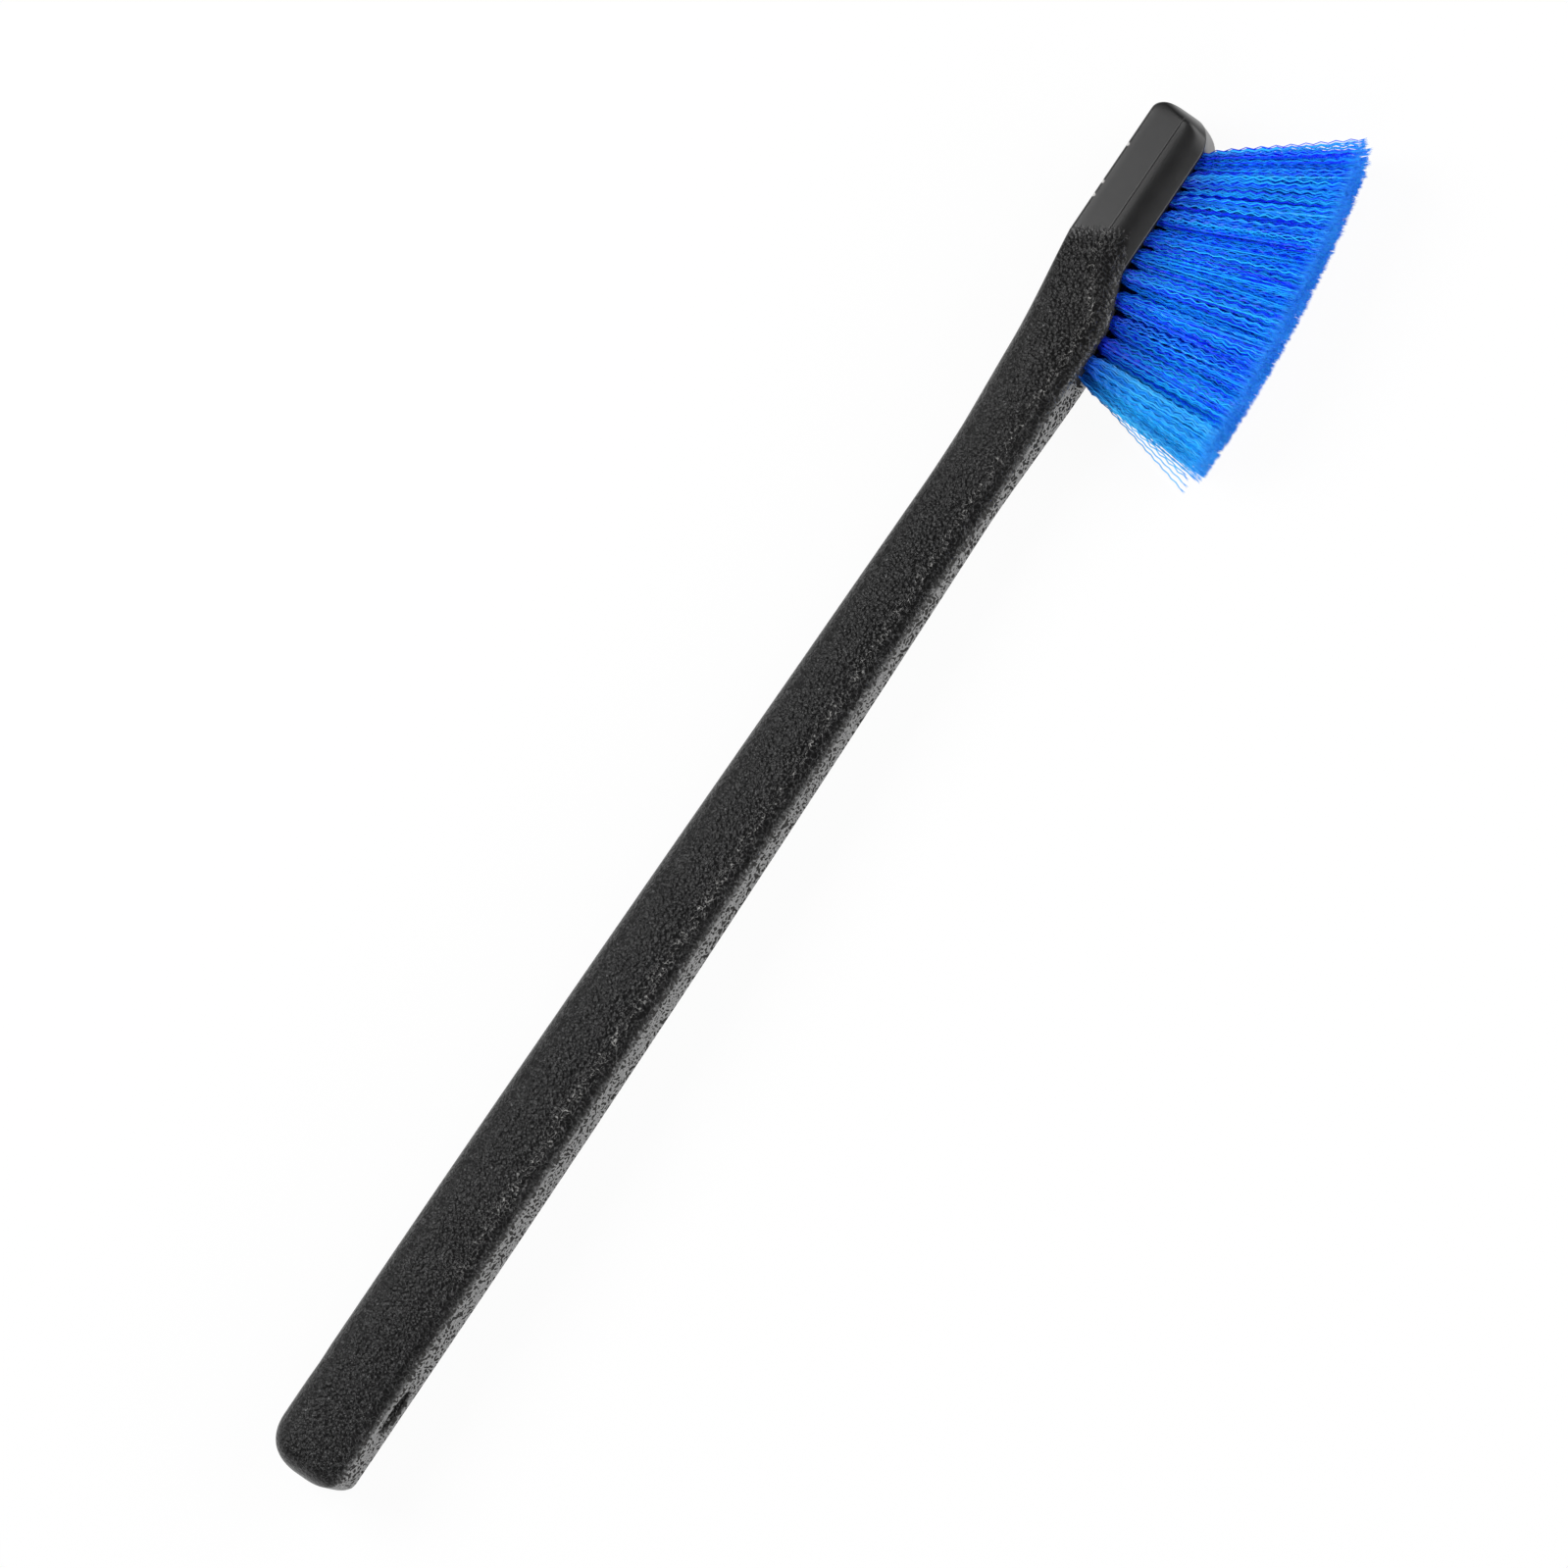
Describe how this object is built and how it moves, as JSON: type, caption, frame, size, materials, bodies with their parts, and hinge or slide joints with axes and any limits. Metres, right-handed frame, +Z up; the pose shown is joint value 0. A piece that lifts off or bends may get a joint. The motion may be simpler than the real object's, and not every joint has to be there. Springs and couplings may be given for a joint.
{
  "type": "bird bath brush",
  "caption": "Long-handled scrubbing brush: black moulded plastic handle with a hang hole, and a fan of blue crimped bristles on its head.",
  "frame": {"origin": "on the surface that the brush lies on, under the middle of its bounding box", "axes": "+X along the handle from the butt to the end of the head, -Y the way the bristles point, +Z up, out of the side that faces up"},
  "size_m": [0.5296, 0.0764, 0.0334],
  "materials": {
    "black_plastic": "fine pebble grain on the grip and neck, satin on the head",
    "blue_filament": "crimped filament with flagged tips",
    "anchor_wire": "drawn flat wire"
  },
  "bodies": {
    "root": {"handle": "black_plastic", "bristle_row_1": "blue_filament", "bristle_row_2": "blue_filament", "bristle_row_3": "blue_filament", "bristle_row_4": "blue_filament", "anchor_row_1_1": "anchor_wire", "anchor_row_1_2": "anchor_wire", "anchor_row_1_3": "anchor_wire", "anchor_row_1_4": "anchor_wire", "anchor_row_1_5": "anchor_wire", "anchor_row_1_6": "anchor_wire", "anchor_row_1_7": "anchor_wire", "anchor_row_1_8": "anchor_wire", "anchor_row_1_9": "anchor_wire", "anchor_row_1_10": "anchor_wire", "anchor_row_1_11": "anchor_wire", "anchor_row_2_1": "anchor_wire", "anchor_row_2_2": "anchor_wire", "anchor_row_2_3": "anchor_wire", "anchor_row_2_4": "anchor_wire", "anchor_row_2_5": "anchor_wire", "anchor_row_2_6": "anchor_wire", "anchor_row_2_7": "anchor_wire", "anchor_row_2_8": "anchor_wire", "anchor_row_2_9": "anchor_wire", "anchor_row_2_10": "anchor_wire", "anchor_row_2_11": "anchor_wire", "anchor_row_3_1": "anchor_wire", "anchor_row_3_2": "anchor_wire", "anchor_row_3_3": "anchor_wire", "anchor_row_3_4": "anchor_wire", "anchor_row_3_5": "anchor_wire", "anchor_row_3_6": "anchor_wire", "anchor_row_3_7": "anchor_wire", "anchor_row_3_8": "anchor_wire", "anchor_row_3_9": "anchor_wire", "anchor_row_3_10": "anchor_wire", "anchor_row_3_11": "anchor_wire", "anchor_row_4_1": "anchor_wire", "anchor_row_4_2": "anchor_wire", "anchor_row_4_3": "anchor_wire", "anchor_row_4_4": "anchor_wire", "anchor_row_4_5": "anchor_wire", "anchor_row_4_6": "anchor_wire", "anchor_row_4_7": "anchor_wire", "anchor_row_4_8": "anchor_wire", "anchor_row_4_9": "anchor_wire", "anchor_row_4_10": "anchor_wire", "anchor_row_4_11": "anchor_wire"}
  },
  "joints": []
}
